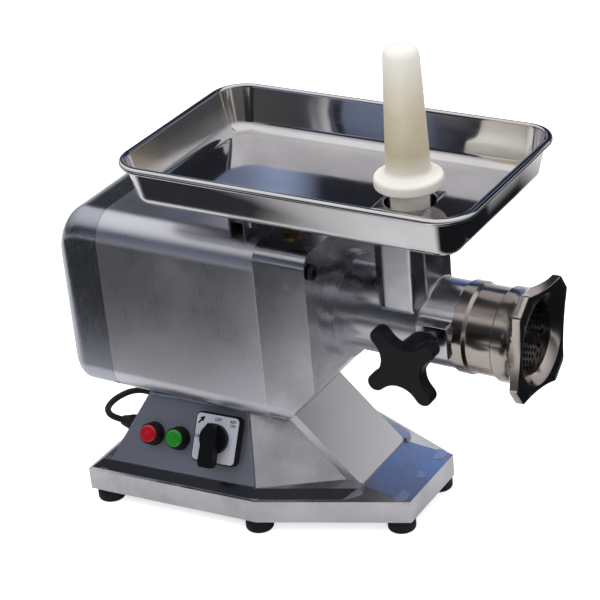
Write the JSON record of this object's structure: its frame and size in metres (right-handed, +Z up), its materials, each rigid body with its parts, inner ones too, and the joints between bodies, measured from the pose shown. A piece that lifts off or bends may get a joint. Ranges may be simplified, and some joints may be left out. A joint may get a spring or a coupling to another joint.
{
  "type": "electric meat grinder",
  "caption": "Electric meat grinder: motor housing on a pedestal, feed screw barrel with ring nut, steel feed pan, pusher and push-button controls.",
  "frame": {"origin": "centre of the machine's box without the cord, at the table under its feet", "axes": "+X forward along the barrel to the ring nut, +Y to the side away from the controls, +Z up"},
  "size_m": [0.5009, 0.3554, 0.503],
  "materials": {
    "cast_aluminium": "brushed, cast",
    "brushed_shell": "brushed",
    "pale_cover": "satin",
    "panel_metal": "brushed, blue grey",
    "sheet_steel": "satin",
    "plain_steel": "machined",
    "polished_steel": "polished",
    "black_rubber": "matt",
    "brass": "worn",
    "copper": "lacquered wire",
    "black_plastic": "satin",
    "black_steel": "blackened",
    "switch_face": "satin with black marks",
    "red_lens": "gloss",
    "green_lens": "gloss",
    "ivory_plastic": "smooth",
    "capacitor_case": "plain"
  },
  "bodies": {
    "machine": {"base_casting": "cast_aluminium", "front_cover": "pale_cover", "control_panel": "panel_metal", "bottom_cover": "sheet_steel", "bottom_screws": "plain_steel", "rubber_feet": "black_rubber", "foot_screws": "plain_steel", "motor_shell": "brushed_shell", "rear_cover": "brushed_shell", "gear_casting": "cast_aluminium", "casting_screws": "black_steel", "oil_plug": "brass", "pan_bracket": "sheet_steel", "bracket_bolts": "plain_steel", "stator_core": "plain_steel", "windings": "copper", "motor_bearings": "plain_steel", "motor_spider": "cast_aluminium", "run_capacitor": "capacitor_case", "lay_bearings": "plain_steel", "output_bearings": "plain_steel", "shaft_seal": "black_rubber", "head_body": "cast_aluminium", "nose_sleeve": "polished_steel", "hole_plate": "polished_steel", "key_pin": "plain_steel", "button_boots": "black_plastic", "button_blocks": "black_plastic", "switch_surround": "black_plastic", "switch_plate": "switch_face", "switch_body": "black_plastic", "cord_gland": "black_rubber", "power_cord": "black_rubber", "cord_coil": "black_rubber", "power_plug": "black_rubber"},
    "rotor": {"rotor": "plain_steel", "motor_shaft": "plain_steel", "cooling_fan": "black_plastic", "motor_pinion": "plain_steel"},
    "layshaft": {"lay_shaft": "plain_steel", "lay_gear_big": "plain_steel", "lay_gear_small": "plain_steel"},
    "drive": {"output_shaft": "plain_steel", "output_gear": "plain_steel", "auger_core": "plain_steel", "auger_flight": "plain_steel", "cross_knife": "polished_steel"},
    "nut": {"ring_nut": "polished_steel"},
    "clamp": {"clamp_screw": "plain_steel", "clamp_knob": "black_plastic"},
    "pan": {"pan": "polished_steel"},
    "pusher": {"pusher": "ivory_plastic"},
    "stop": {"stop_button": "red_lens"},
    "start": {"start_button": "green_lens"},
    "selector": {"selector_knob": "black_plastic", "selector_shaft": "plain_steel"}
  },
  "joints": [
    {"name": "motor_spin", "type": "hinge", "parent": "machine", "child": "rotor", "pos_m": [-0.12, 0, 0.19], "axis": [1, 0, 0], "continuous": true},
    {"name": "lay_spin", "type": "hinge", "parent": "machine", "child": "layshaft", "pos_m": [0.02, 0.03853, 0.20075], "axis": [1, 0, 0], "continuous": true},
    {"name": "drive_spin", "type": "hinge", "parent": "machine", "child": "drive", "pos_m": [0.1, 0, 0.224], "axis": [1, 0, 0], "continuous": true},
    {"name": "nut_turn", "type": "hinge", "parent": "machine", "child": "nut", "pos_m": [0.23, 0, 0.224], "axis": [1, 0, 0], "continuous": true},
    {"name": "clamp_turn", "type": "hinge", "parent": "machine", "child": "clamp", "pos_m": [0.1565, -0.1, 0.2315], "axis": [0, -1, 0], "continuous": true},
    {"name": "pan_lift", "type": "slide", "parent": "machine", "child": "pan", "axis": [0, 0, 1], "range_m": [0, 0.12]},
    {"name": "pusher_lift", "type": "slide", "parent": "pan", "child": "pusher", "axis": [0, 0, 1], "range_m": [0, 0.15]},
    {"name": "selector_turn", "type": "hinge", "parent": "machine", "child": "selector", "pos_m": [-0.07652, -0.0787, 0.0821], "axis": [0.0656, -0.8635, 0.5], "range_deg": [-90, 90]},
    {"name": "stop_press", "type": "slide", "parent": "machine", "child": "stop", "axis": [-0.0656, 0.8635, -0.5], "range_m": [0, 0.003], "stiffness_N_per_m": 500, "springref_m": -0.002},
    {"name": "start_press", "type": "slide", "parent": "machine", "child": "start", "axis": [-0.0656, 0.8635, -0.5], "range_m": [0, 0.003], "stiffness_N_per_m": 500, "springref_m": -0.002}
  ],
  "couplings": [
    {"joint": "lay_spin", "follows": "motor_spin", "ratio": -0.33333},
    {"joint": "drive_spin", "follows": "motor_spin", "ratio": 0.12121}
  ]
}
